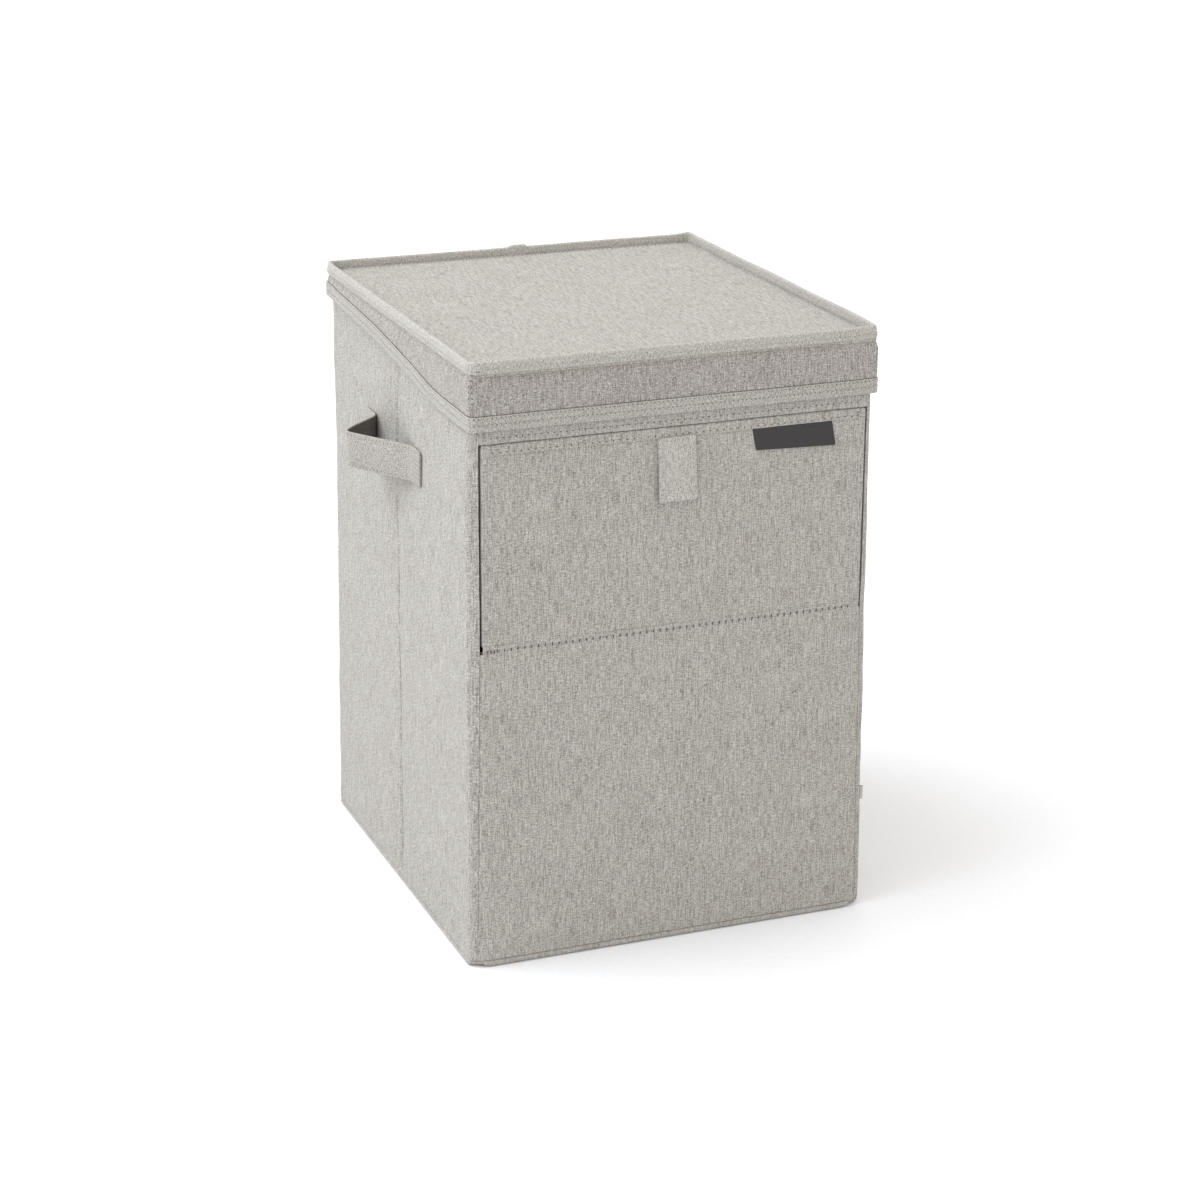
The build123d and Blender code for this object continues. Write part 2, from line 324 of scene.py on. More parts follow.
class Panel:
    """A flat piece with rounded corners whose cloth turns over its edges, down to a depth.

    place puts (p, q, height) in the scene. Corner and edge radius and depth are in mm.
    """

    def __init__(self, place, half_p, half_q, corner, edge, depth, lift=None):
        self.place, self.half_p, self.half_q, self.lift = place, half_p, half_q, lift
        self.corner, self.edge, self.depth = corner * MM, edge * MM, max(depth, edge) * MM

    def face(self, p, q):
        p = np.clip(p, -self.half_p, self.half_p)
        q = np.clip(q, -self.half_q, self.half_q)
        x, y, inside = round_corners(p, q, self.half_p, self.half_q, self.corner)
        near = np.clip(self.edge - inside, 0, self.edge)
        drop = self.edge - np.sqrt(np.maximum(self.edge ** 2 - near ** 2, 0))
        rise = 0 if self.lift is None else self.lift(x, y) * smooth(inside / (6 * MM))
        return x, y, rise - drop

    def surface(self, p, q):
        return self.place(*self.face(p, q))

    def mesh(self, name, step, thickness=CLOTH, material="cover", fine_p=(), fine_q=()):
        reach = self.edge / MM + 0.6
        lines = []
        for half, fine in ((self.half_p, fine_p), (self.half_q, fine_q)):
            lines.append(stations(-half, half, step, (-half, reach, 0.3), (half, reach, 0.3), *fine))
        x, y, w = self.face(*np.meshgrid(*lines))
        uv = np.stack([x, y], -1)
        shrink_p = (self.half_p - thickness) / self.half_p
        shrink_q = (self.half_q - thickness) / self.half_q
        inner = self.place(x * shrink_p, y * shrink_q, w - thickness)
        parts = [grid_part(self.place(x, y, w), uv), grid_part(inner, uv)]
        index = np.arange(x.size).reshape(x.shape)
        border = np.concatenate([index[0], index[1:, -1], index[-1, -2::-1], index[-2:0:-1, 0]])
        x, y, w = x.ravel()[border], y.ravel()[border], w.ravel()[border]

        def edge_wall(x, y, top, foot):
            return np.stack([self.place(x, y, top + (foot - top) * t) for t in np.linspace(0, 1, 4)])

        outside = edge_wall(x, y, w, -self.depth)
        top = w - thickness
        inside = edge_wall(x * shrink_p, y * shrink_q, top, np.minimum(-self.depth, top))
        run = np.linspace(0, 4 * (self.half_p + self.half_q), len(border) + 1)
        for strip in (outside, inside, np.stack([outside[-1], inside[-1]])):
            down = np.linspace(0, self.depth + thickness, len(strip))
            parts.append(grid_part(strip, np.stack(np.meshgrid(run, down), -1), wrap_cols=True))
        return assemble(name, parts, material)


# ---- stitches

def spindles(name, rows, size, material):
    """Short thread ends on a surface. rows: (centres, along, out); size: length, width, height in mm."""
    centre, along, out = (np.concatenate(column) for column in zip(*rows))
    side = np.cross(out, along)
    length, width, height = (s * MM / 2 for s in size)
    t = np.array([-1, -0.72, 0, 0.72, 1.0])
    girth = np.array([0.25, 0.75, 1, 0.75, 0.25])
    angle = np.arange(6) / 6 * math.tau
    points = (centre[:, None, None] + along[:, None, None] * (t * length)[None, :, None, None]
              + side[:, None, None] * (girth[:, None] * np.cos(angle) * width)[None, :, :, None]
              + out[:, None, None] * (girth[:, None] * np.sin(angle) * height)[None, :, :, None])
    i, j = np.meshgrid(np.arange(4), np.arange(6), indexing="ij")
    ring, turned = i * 6, (j + 1) % 6
    quad = np.stack([ring + j, ring + turned, ring + 6 + turned, ring + 6 + j], -1).reshape(-1, 4)
    first = np.arange(len(centre)) * 30
    faces = (quad[None] + first[:, None, None]).reshape(-1, 4).tolist()
    for k in first.tolist():
        faces.append([k + n for n in range(5, -1, -1)])
        faces.append([k + 24 + n for n in range(6)])
    mesh = bpy.data.meshes.new(name)
    mesh.from_pydata(points.reshape(-1, 3).tolist(), [], faces)
    mesh.materials.append(MATERIAL[material])
    mesh.shade_smooth()
    return add_object(name, mesh)


def seam_row(surface, a, b, pitch, lift, turn=1, shift=0.0, crosswise=False):
    """Centres, directions and normals of stitches along (a, b) on a surface. pitch, lift, shift are in mm."""
    a, b = np.broadcast_arrays(np.asarray(a, float), np.asarray(b, float))
    if len(a) == 2:
        share = np.linspace(0, 1, 160)
        a, b = a[0] + (a[1] - a[0]) * share, b[0] + (b[1] - b[0]) * share
    length = distances(surface(a, b))
    pitch, shift = pitch * MM, shift * MM
    place = (np.arange(int((length[-1] - shift) / pitch)) + 0.5) * pitch + shift
    place = place[place < length[-1]]

    def line(where):
        return np.interp(where, length, a), np.interp(where, length, b)

    along = surface(*line(place + 0.3 * MM)) - surface(*line(place - 0.3 * MM))
    along /= np.maximum(np.linalg.norm(along, axis=-1, keepdims=True), 1e-12)
    out = normals(surface, *line(place), turn)
    if crosswise:
        along = np.cross(out, along)
    return surface(*line(place)) + out * lift * MM, along, out


def sew(name, lines, carry, pitch=3.4, thread=(2.3, 0.55, 0.5), hole=(1.1, 0.95, 0.36), material="thread"):
    """Rows of stitches with their needle holes, in mm; the holes are dark spots of painted shade. lines holds
    (surface, a, b, turn).
    """
    kinds = (("thread", thread, material, 0.12, 0.0), ("holes", hole, "needle_hole_shade", 0.05, pitch / 2))
    for kind, size, look, lift, shift in kinds:
        rows = [seam_row(surface, a, b, pitch, lift, turn, shift) for surface, a, b, turn in lines]
        carry(spindles(f"{name}_{kind}", [row for row in rows if len(row[0])], size, look))


# ---- materials

class Nodes:
    """Short names for building a node tree."""

    def __init__(self, name):
        self.material = bpy.data.materials.new(name)
        self.material.use_nodes = True
        self.tree = self.material.node_tree
        self.tree.nodes.clear()

    def add(self, kind, **settings):
        node = self.tree.nodes.new(kind)
        for key, value in settings.items():
            setattr(node, key, value)
        return node

    def put(self, socket, value):
        """Gives a socket a colour, a number or another node's output."""
        if isinstance(value, tuple):
            socket.default_value = (*value, 1.0)
        elif isinstance(value, (int, float)):
            socket.default_value = value
        else:
            self.tree.links.new(value, socket)

    def place(self):
        return self.add("ShaderNodeTexCoord").outputs["Object"]

    def cloth(self):
        """The cloth's own coordinates, whole and as two numbers."""
        uv = self.add("ShaderNodeUVMap", uv_map="cloth").outputs[0]
        split = self.add("ShaderNodeSeparateXYZ")
        self.put(split.inputs[0], uv)
        return uv, split.outputs[0], split.outputs[1]

    def math(self, operation, *values):
        node = self.add("ShaderNodeMath", operation=operation)
        for socket, value in zip(node.inputs, values):
            self.put(socket, value)
        return node.outputs[0]

    def total(self, *terms):
        """Sum of each (value, weight)."""
        total = 0.0
        for value, weight in terms:
            total = self.math("MULTIPLY_ADD", value, weight, total)
        return total

    def noise(self, vector, across, up, detail=1.0, rough=0.5):
        """Noise whose features are about this many mm across and up."""
        mapping = self.add("ShaderNodeMapping")
        mapping.inputs["Scale"].default_value = (1 / (across * MM), 1 / (up * MM), 1 / (across * MM))
        self.put(mapping.inputs["Vector"], vector)
        node = self.add("ShaderNodeTexNoise", noise_dimensions="2D")
        settings = (("Scale", 1.0), ("Detail", detail), ("Roughness", rough), ("Vector", mapping.outputs[0]))
        for key, value in settings:
            self.put(node.inputs[key], value)
        return node.outputs[0]

    def ramp(self, value, low, high, out_low=0.0, out_high=1.0):
        node = self.add("ShaderNodeMapRange", clamp=True)
        limits = (("From Min", low), ("From Max", high), ("To Min", out_low), ("To Max", out_high))
        for key, number in (*limits, ("Value", value)):
            self.put(node.inputs[key], number)
        return node.outputs[0]

    def mix(self, share, first, second):
        node = self.add("ShaderNodeMix", data_type="RGBA")
        for key, value in ((0, share), (6, first), (7, second)):
            self.put(node.inputs[key], value)
        return node.outputs[2]

    def finish(self, colour, roughness, height=None, distance=0.1, strength=0.6, sheen=0.0, specular=0.2):
        """Puts the shader at the end of the tree. The bump's distance is in mm."""
        shader = self.add("ShaderNodeBsdfPrincipled")
        settings = (("Sheen Weight", sheen), ("Sheen Roughness", 0.6), ("Specular IOR Level", specular),
                    ("Base Color", colour), ("Roughness", roughness))
        for key, value in settings:
            self.put(shader.inputs[key], value)
        if height is not None:
            node = self.add("ShaderNodeBump")
            for key, value in (("Strength", strength), ("Distance", distance * MM), ("Height", height)):
                self.put(node.inputs[key], value)
            self.put(shader.inputs["Normal"], node.outputs[0])
        output = self.add("ShaderNodeOutputMaterial")
        self.put(output.inputs["Surface"], shader.outputs[0])
        return self.material


FLECK = (0.115, 0.085, 0.062)


def woven(name, light, dark, fleck=FLECK, pitch=0.62, contrast=1.0, flecks=1.0, slub=1.0, streak=11):
    """Plain-weave cloth of mixed yarns, each with its own tone, with slubs and scattered flecks.

    The pitch between yarns and the streak, the length of a yarn's tone, are in mm.
    """
    n = Nodes(name)
    uv, u, v = n.cloth()
    across = n.math("SINE", n.math("MULTIPLY", u, math.pi / (pitch * MM)))
    up = n.math("SINE", n.math("MULTIPLY", v, math.pi / (pitch * MM)))
    over = n.math("MULTIPLY", across, up)
    warp_tone = n.noise(uv, 0.8, streak, 3.0, 0.7)
    weft_tone = n.noise(uv, 0.4 * streak, 0.8, 3.0, 0.7)
    heather = n.noise(uv, 0.95, 1.1, 2.0, 0.7)
    cloud = n.noise(uv, 22, 40, 3.0, 0.6)
    slubs = n.noise(uv, 1.3, 60)
    yarn = n.add("ShaderNodeMix", data_type="FLOAT")
    for socket, value in ((0, n.ramp(over, -0.25, 0.15)), (2, weft_tone), (3, warp_tone)):
        n.put(yarn.inputs[socket], value)
    weights = (0.6, 0.24, 0.035, 0.06 * slub)
    tone = n.total(*zip((yarn.outputs[0], heather, cloud, slubs), weights))
    middle, spread = sum(weights) / 2, 0.125 / contrast
    colour = n.mix(n.ramp(tone, middle - spread, middle + spread), dark, light)
    spots = n.noise(uv, 0.9, 1.5, 1.0, 0.6)
    colour = n.mix(n.ramp(spots, 0.67, 0.77, 0.0, 0.62 * flecks), colour, fleck)
    pale = tuple(min(0.9, c * 1.45) for c in light)
    colour = n.mix(n.ramp(spots, 0.32, 0.22, 0.0, 0.6 * flecks), colour, pale)
    # painted shade: the hollows between the yarns are darkened towards a deep copy of the dark yarn colour
    depth = n.math("ABSOLUTE", over)
    colour = n.mix(n.ramp(depth, 0.0, 0.5, 0.26, 0.0), colour, tuple(c * 0.45 for c in dark))
    height = n.total((depth, 0.6), (heather, 0.9))
    rough = n.ramp(tone, middle - spread, middle + spread, 0.97, 0.86)
    return n.finish(colour, rough, height, 0.12, 0.55, sheen=0.08, specular=0.12)


def twill(name, light, dark, pitch=0.5):
    """Tight diagonal weave for the labels; pitch in mm."""
    n = Nodes(name)
    uv, u, v = n.cloth()
    ridge = n.math("SINE", n.math("MULTIPLY", n.total((u, 1.0), (v, 0.8)), math.tau / (pitch * MM)))
    tone = n.noise(uv, 0.6, 1.6, 2.0, 0.6)
    mixed = n.total((n.ramp(ridge, -1, 1), 0.45), (tone, 0.7))
    colour = n.mix(n.ramp(mixed, 0.3, 0.85), dark, light)
    return n.finish(colour, n.ramp(tone, 0.3, 0.7, 0.75, 0.9), mixed, 0.06, 0.5, sheen=0.05, specular=0.25)


def cardboard(name, light, dark):
    """Grey-brown board with fibres, for the stiffeners that the cloth hides."""
    n = Nodes(name)
    place = n.place()
    grain = n.noise(place, 1.2, 6, 3.0, 0.6)
    tone = n.total((grain, 0.7), (n.noise(place, 25, 25, 2.0), 0.3))
    colour = n.mix(n.ramp(tone, 0.3, 0.7), dark, light)
    return n.finish(colour, n.ramp(grain, 0.3, 0.7, 0.8, 0.95), grain, 0.1, 0.4)


def pile(name, light, dark):
    """Hook or loop tape: a dense pile."""
    n = Nodes(name)
    fuzz = n.noise(n.cloth()[0], 0.8, 0.8, 3.0, 0.75)
    return n.finish(n.mix(n.ramp(fuzz, 0.35, 0.65), dark, light), 0.95, fuzz, 0.4, 0.9, sheen=0.1)


def plain_thread(name, light, dark):
    n = Nodes(name)
    tone = n.noise(n.place(), 0.5, 0.5)
    return n.finish(n.mix(n.ramp(tone, 0.3, 0.7), dark, light), 0.8, tone, 0.05, 0.4)


MATERIAL = {
    "cover": woven("cover_cloth", (0.600, 0.578, 0.542), (0.150, 0.134, 0.112)),
    "binding": woven("binding_cloth", (0.60, 0.58, 0.545), (0.175, 0.158, 0.135), pitch=0.58, slub=0, streak=3),
    # painted light: the rim cloth is the binding cloth made lighter, for the light that the rolled rim catches
    "rim": woven("rim_cloth_painted_light", (0.65, 0.628, 0.59), (0.205, 0.186, 0.16), pitch=0.58, slub=0, streak=3),
    # painted shade: the skirt cloth is the cover cloth made darker, for the shade under the lid's rim
    "skirt": woven("skirt_cloth_painted_shade", (0.55, 0.525, 0.492), (0.122, 0.106, 0.09), flecks=1.4),
    "strap": woven("strap_cloth", (0.575, 0.553, 0.517), (0.155, 0.14, 0.118), pitch=0.7, slub=0, streak=3.5),
    # strap backing: a darker backing cloth, made darker still as painted shade for the strap's shaded inner
    # face
    "strap_back_and_shade": woven("strap_backing_and_shade", (0.15, 0.132, 0.115), (0.085, 0.075, 0.066), pitch=0.7, slub=0,
                        streak=3.5),
    "tab": woven("tab_cloth", (0.655, 0.633, 0.595), (0.205, 0.188, 0.163), flecks=0.8, slub=0, streak=6),
    "lining": woven("lining_cloth", (0.47, 0.455, 0.43), (0.34, 0.325, 0.305), (0.2, 0.19, 0.175), 0.8, 0.8,
                    0.3),
    "label": twill("label_weave", (0.055, 0.051, 0.053), (0.028, 0.026, 0.027)),
    "care": twill("care_label_weave", (0.50, 0.48, 0.45), (0.37, 0.35, 0.33), 0.4),
    "tape": pile("closure_pile", (0.40, 0.375, 0.345), (0.26, 0.24, 0.22)),
    "board": cardboard("board_fibre", (0.34, 0.285, 0.215), (0.20, 0.16, 0.115)),
    "thread": plain_thread("sewing_thread", (0.56, 0.535, 0.495), (0.42, 0.395, 0.36)),
    # painted shade: dark spots for the shadow inside the needle holes
    "needle_hole_shade": plain_thread("needle_hole_shade", (0.11, 0.095, 0.083), (0.06, 0.052, 0.045)),
    # dark thread, also used for lines of painted shadow along the skirt's binding and under the lid's rim
    "dark_thread_and_shadow": plain_thread("dark_thread_and_shadow", (0.12, 0.10, 0.085), (0.07, 0.058, 0.049)),
}


# ---- what every piece is

def on(body):
    """A function that makes a piece ride on a body."""
    return lambda obj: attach(obj, body)


def between():
    """A function that bakes a piece's transform into its mesh and puts it on no body."""
    return lambda obj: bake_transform(obj)


LEFT_CREASE = between()
RIGHT_CREASE = between()
FRONT_LEFT = between()
FRONT_RIGHT = between()
BACK_LEFT = between()
FLAP_FOLD = between()


def cloth_piece(obj, carry, stands_for=()):
    """Puts a sheet on its body and hides the frame parts that it stands for."""
    carry(obj)
    if stands_for:
        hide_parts(*stands_for)


# ---- the body's walls

FLARE_FRONT_LEFT = 4.6 * MM          # how far the cloth stands out past the boards, at the foot
FLARE_FRONT_RIGHT = 4.8 * MM
FLARE_REAR = 4.2 * MM
FLARE_FROM_X = 145.5 * MM


def flare(x, y, z):
    """The soft body is wider at its foot than under the lid, most of all at its front left corner."""
    rear = (y + END_Y) / (2 * END_Y)
    front_left = (FLARE_FRONT_LEFT - 1.0 * MM * z / 0.4) * smooth((0.402 - z) / 0.024)
    front_right = FLARE_FRONT_RIGHT * np.clip(1 - z / 0.4, 0, 1)
    at_rear = FLARE_REAR * np.clip(1 - z / 0.3, 0, 1)
    amount = np.where(x < 0, front_left, front_right) * (1 - rear) + at_rear * rear
    return np.sign(x) * amount * smooth((np.abs(x) - FLARE_FROM_X) / (SIDE_X - FLARE_FROM_X))


def flared(points):
    x, y, z = np.moveaxis(points, -1, 0)
    return np.stack([x + flare(x, y, z), y, z], -1)


def wall_profile(s, v):
    """Height and inset at v up the wall: the cloth curls in at the foot and turns over the wall's top."""
    _, _, nx, ny = BODY.at(s)
    foot_r = 2.3 * MM + 5.4 * MM * np.abs(2 * nx * ny)
    low = np.clip(foot_r - v, 0, foot_r)
    inset = foot_r - np.sqrt(np.maximum(foot_r ** 2 - low ** 2, 0))
    turn = np.clip((v - (WALL_TOP - TOP_R)) / TOP_R, 0, math.pi / 2)
    over = np.maximum(v - (WALL_TOP - TOP_R) - TOP_R * math.pi / 2, 0)
    z = np.minimum(v, WALL_TOP - TOP_R) + TOP_R * np.sin(turn)
    return z, inset + TOP_R * (1 - np.cos(turn)) + over


def body_lift(s, v):
    """Unevenness of the board-backed cloth, and the two upright creases."""
    wave = 0.30 * MM * ripple(s, v, 11) + 0.10 * MM * ripple(s, v, 12, 0.05, 0.018)
    for crease in (0.0, BODY.right(0.0)):
        away = np.mod(s - crease + BODY.total / 2, BODY.total) - BODY.total / 2
        wander = 0.8 * MM * ripple(v, v * 0, 5, 0.3, 0.1)
        wave = wave - 0.95 * MM * bump(away, wander, 15 * MM) - 1.1 * MM * bump(away, wander, 2.0 * MM)
    return wave


def wall_face(s, v):
    """The body's outer face, from the distance round it and the distance up it."""
    z, inset = wall_profile(s, v)
    held = smooth((v - FOOT_SEAM) / (5 * MM) + 0.3) * smooth((WALL_TOP - v) / (6 * MM) + 0.3)
    return flared(BODY.out(s, body_lift(s, v) * held - inset, z))


WALL_UP = stations(FOOT_SEAM, WALL_END, 6, (FOOT_SEAM, 9, 1), (WALL_TOP, 3, 0.4))


def side_walls():
    """Cover cloth of each side wall, from the rear corner to the front corner, across its crease."""
    front_end, rear_end = END_Y - FRONT_R - STRIP_EDGE, END_Y - REAR_R - STRIP_EDGE
    sides = {
        "left": (BODY.left(rear_end), BODY.left(-front_end), 0.0, LEFT_CREASE),
        "right": (BODY.right(-front_end), BODY.right(rear_end), BODY.right(0.0), RIGHT_CREASE),
    }
    for side, (start, end, crease, carry) in sides.items():
        across = stations(start, end, 5, (crease, 5, 0.6), (crease, 22, 2.2))
        cloth = sheet_mesh(f"{side}_side_cloth", wall_face, across, WALL_UP)
        covers = (f"{side}_rear_cover", f"{side}_front_cover")
        cloth_piece(cloth, carry, covers)


def seam_lean(v):
    """How far the seams beside the front have moved out at v up the wall."""
    return SEAM_LEAN * np.clip(1 - v / FOLD_Z, 0, 1)


def front_corners():
    """Cloth that wraps each front corner, as far as the seam beside the flap."""
    edge_y = END_Y - FRONT_R - STRIP_EDGE
    gap = 0.15 * MM
    left_edge, left_seam = lambda v: BODY.left(-edge_y), lambda v: BODY.front(-SEAM_X - seam_lean(v)) - gap
    right_seam, right_edge = lambda v: BODY.front(SEAM_X + seam_lean(v)) + gap, lambda v: BODY.right(-edge_y)
    strips = {
        "front_left": (left_edge, left_seam, FRONT_LEFT),
        "front_right": (right_seam, right_edge, FRONT_RIGHT),
    }
    for name, (start, end, carry) in strips.items():
        width = float(end(FOLD_Z) - start(FOLD_Z))
        surface = lambda a, v: wall_face(start(v) + (end(v) - start(v)) * a / width, v)
        cloth = sheet_mesh(f"{name}_corner_cloth", surface, stations(0, width, 1), WALL_UP)
        cloth_piece(cloth, carry)
        a = 1.7 * MM if carry is FRONT_RIGHT else width - 1.7 * MM
        seam = [(surface, a, (FOOT_SEAM + 4 * MM, 400 * MM), 1)]
        sew(f"{name}_seam", seam, carry, 4.2, (1.7, 0.4, 0.3), (0.6, 0.36, 0.2))


def front_lower():
    """Front cloth below the flap, from seam to seam."""
    top = FOLD_Z - FOLD_STRIP

    def surface(a, v):
        face = wall_face(BODY.front(a) + seam_lean(v) * a / SEAM_X, v)
        face[..., 1] += 0.30 * MM * bump(np.abs(a), SEAM_X, 1.2 * MM)
        return face

    across = stations(-SEAM_X, SEAM_X, 6, (-SEAM_X, 4, 0.8), (SEAM_X, 4, 0.8))
    up = stations(FOOT_SEAM, top, 6, (FOOT_SEAM, 9, 1), (top, 3, 0.8))
    cloth = sheet_mesh("front_lower_cloth", surface, across, up)
    cloth_piece(cloth, on("front_wall"),
                ["front_cover"])


def fold_strip():
    """The flap's fold: cloth that bends, with the row of needle pricks along it."""
    half = SEAM_X - 1.6 * MM

    def surface(a, v):
        face = wall_face(BODY.front(a), v)
        raised = smooth((v - FOLD_Z + 1.5 * MM) / (2 * MM))
        face[..., 1] += 0.4 * MM * bump(v, FOLD_Z, 0.7 * MM) - 0.3 * MM * raised
        return face

    up = stations(FOLD_Z - FOLD_STRIP, FOLD_Z + FOLD_STRIP_TOP, 0.3)
    cloth = sheet_mesh("flap_fold_cloth", surface, stations(-half, half, 6), up)
    cloth_piece(cloth, FLAP_FOLD)
    pricks = seam_row(surface, (3 * MM - half, half - 3 * MM), FOLD_Z, 5.1, 0.55, crosswise=True)
    start = (2 * MM - half, 12 * MM - half)
    close = seam_row(surface, start, FOLD_Z - 0.3 * MM, 2.5, 0.55, crosswise=True)
    FLAP_FOLD(spindles("flap_fold_pricks", [pricks, close], (2.7, 0.85, 0.8), "dark_thread_and_shadow"))


def front_rail():
    """Cloth of the front wall's top rail, above the flap."""
    def surface(a, v):
        face = wall_face(BODY.front(a), v)
        face[..., 1] += 0.45 * MM * bump(v, RAIL_FOOT, 0.6 * MM)
        face[..., 1] += 0.25 * MM * bump(np.abs(a), SEAM_X, 1.2 * MM)
        return face

    across = stations(-SEAM_X, SEAM_X, 6, (-SEAM_X, 4, 0.8), (SEAM_X, 4, 0.8))
    up = stations(RAIL_FOOT, WALL_END, 5, (RAIL_FOOT, 2.5, 0.35), (WALL_TOP, 3, 0.4))
    cloth = sheet_mesh("front_rail_cloth", surface, across, up)
    cloth_piece(cloth, on("front_wall"))
    row = [(surface, (4 * MM - SEAM_X, SEAM_X - 4 * MM), RAIL_FOOT + 4.2 * MM, 1)]
    sew("front_rail_seam", row, on("front_wall"), 4.6)


def back_wall():
    """Cover cloth of the back wall and of the two rear corners."""
    middle = BODY.right(END_Y - REAR_R) + REAR_R * math.pi / 4
    start, end = middle + 0.8 * MM, BODY.back(REAR_R + 1 * MM - SIDE_X)
    cloth = sheet_mesh("back_cloth", wall_face, stations(start, end, 6, (start, 10, 1)), WALL_UP)
    cloth_piece(cloth, on("shell_back"),
                ["back_cover"])
    left_end = BODY.total + BODY.left(END_Y - REAR_R - STRIP_EDGE)
    corner = sheet_mesh("back_left_corner_cloth", wall_face, stations(end, left_end, 1.2), WALL_UP)
    cloth_piece(corner, BACK_LEFT)

    # The right rear corner opens when the bin is folded: each wall keeps its own half of the corner.
    right_start = BODY.right(END_Y - REAR_R - STRIP_EDGE)
    half = stations(right_start, middle - 0.6 * MM, 1.2)
    own = sheet_mesh("back_right_corner_side_cloth", wall_face, half, WALL_UP)
    cloth_piece(own, on("right_rear"))


# Rows of the base's cover in mm, up its edge and back under the walls: height and reach inward.
FOOT_ROWS = [(level, 0) for level in (0.02, 0.3, 0.6, 1.0, 1.5, 2.2, 3.0, 3.7, 4.3, 4.8, 5.05)]
FOOT_ROWS += [(5.2, 0.9), (5.2, 3.0), (5.2, 6.5), (4.9, 7.0), (4.6, 6.5), (4.6, 2.5), (4.0, 1.5), (1.6, 1.5)]


def foot():
    """The base's cover: a bottom sheet whose edge rolls up round the board and is turned in on top."""
    s = np.linspace(0, BODY.total, 420, endpoint=False)
    rings = []
    for level, inward in FOOT_ROWS:
        z, inset = wall_profile(s, level * MM + 0 * s)
        roll = 0.3 * MM * bump(level, 2.2, 1.3) - 0.8 * MM * bump(level, 5.1, 0.6)
        rings.append(flared(BODY.out(s, roll - inset - inward * MM, z)))
    uv = np.stack(np.meshgrid(np.append(s, BODY.total), np.arange(len(rings)) * MM), -1)
    parts = [grid_part(np.stack(rings), uv, wrap_cols=True)]
    for start in (rings[0], rings[-1]):
        for shares in ((1.0, 0.985, 0.93, 0.8, 0.6, 0.4, 0.2, 0.02), (0.02, 0.00002)):
            disc = np.stack([start * (share, share, 1) for share in shares])
            parts.append(grid_part(disc, np.append(disc, disc[:, :1], axis=1)[..., :2], wrap_cols=True))
    cloth = assemble("base_cloth", parts, "cover")
    cloth_piece(cloth, on("shell_back"),
                ["base_cover"])


# ---- the flap and what is on it

FLAP_MID_Z = (FOLD_Z + FOLD_STRIP + FLAP_HIGH.z) / 2
FLAP_HALF_Z = (FLAP_HIGH.z - FOLD_Z - FOLD_STRIP) / 2
HEM_Q = FLAP_HALF_Z - 7.8 * MM       # lower edge of the hem, from the flap's middle
TURN_P = FLAP_EDGE_X - 4.2 * MM      # inner edge of the turned-in sides


def flap_lift(p, q):
    """Waves of the flap's cloth, its turned side edges, and the hem along its top."""
    wave = 0.32 * MM * ripple(p, q + FLAP_MID_Z, 21) + 0.10 * MM * ripple(p, q, 22, 0.04, 0.015)
    hem = 0.50 * MM * smooth((q - HEM_Q) / (0.6 * MM)) - 0.45 * MM * bump(q, HEM_Q - 0.2 * MM, 0.6 * MM)
    away = np.abs(p) - TURN_P
    return wave + hem + 0.16 * MM * smooth(away / (0.8 * MM)) - 0.25 * MM * bump(away, 0, 0.5 * MM)


FLAP_PANEL = Panel(lambda p, q, w: np.stack([p, -END_Y - w, q + FLAP_MID_Z], -1), FLAP_EDGE_X, FLAP_HALF_Z,
                   2.2, 1.1, WALL / MM - 0.1, flap_lift)


def flap():
    """The drop-front flap's cover and lining, with the stitches of its hem."""
    cloth = FLAP_PANEL.mesh("flap_cloth", 4, fine_p=[(TURN_P, 1.2, 0.4), (-TURN_P, 1.2, 0.4)],
                            fine_q=[(HEM_Q, 2, 0.4)])
    cloth_piece(cloth, on("flap"),
                ["flap_cover"])
    across = (3 * MM - FLAP_EDGE_X, FLAP_EDGE_X - 3 * MM)
    face = FLAP_PANEL.surface
    sew("flap_hem_seam", [(face, across, HEM_Q + 2.4 * MM, 1)], on("flap"), 5.2, (2.7, 0.6, 0.5))
    sew("flap_hem_edge", [(face, across, HEM_Q, 1)], on("flap"), 3.6, (2.0, 0.4, 0.3), (0.8, 0.4, 0.22))
    tack = [(face, FLAP_EDGE_X - inset * MM, (FLAP_HALF_Z - 9 * MM, FLAP_HALF_Z - 2 * MM), 1)
            for inset in (5.5, 6.6)]
    sew("flap_bar_tack", tack, on("flap"), 1.6, (1.5, 0.6, 0.5))
    back_y = -END_Y + 4.1 * MM + LINING
    inside = Panel(lambda p, q, w: np.stack([-p, back_y + w, q + FLAP_MID_Z], -1), FLAP_EDGE_X - 1 * MM,
                   FLAP_HALF_Z - 0.8 * MM, 3, 0.5, 0.5, lambda p, q: 0.25 * MM * ripple(p, q, 25))
    back = inside.mesh("flap_lining_cloth", 8, 0.5 * MM, "lining")
    cloth_piece(back, on("flap"),
                ["flap_lining"])


